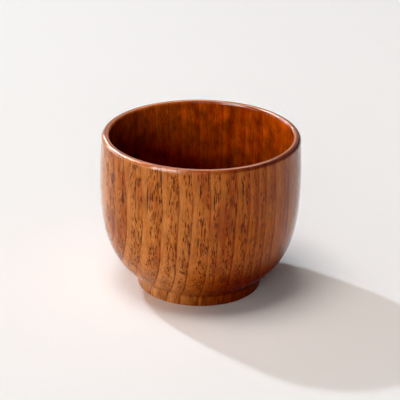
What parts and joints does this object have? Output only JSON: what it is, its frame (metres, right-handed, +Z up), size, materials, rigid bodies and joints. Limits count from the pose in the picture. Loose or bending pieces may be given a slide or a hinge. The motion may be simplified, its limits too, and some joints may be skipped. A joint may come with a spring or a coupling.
{
  "type": "lacquered wooden cup",
  "caption": "Handleless turned wooden tea cup with a rounded bowl, a gently drawn-in lip, a short foot ring and a clear glossy lacquer finish.",
  "frame": {"origin": "middle of the foot's standing ring, on the surface that the cup stands on", "axes": "+Z up along the turning axis, out of the cup's mouth; X and Y across the cup, which is round"},
  "size_m": [0.08, 0.08, 0.064],
  "materials": {
    "wood": "fine-sanded reddish-brown ring-porous wood, bare on the standing ring",
    "outer_lacquer": "clear amber lacquer, glossy, over the wood grain",
    "inner_lacquer": "clear amber lacquer, glossy, over the wood grain",
    "recess_lacquer": "thin clear amber lacquer over the wood grain"
  },
  "bodies": {
    "root": {"turned_wood_body": "wood", "outer_lacquer_coat": "outer_lacquer", "inner_lacquer_coat": "inner_lacquer", "recess_lacquer_coat": "recess_lacquer"}
  },
  "joints": []
}
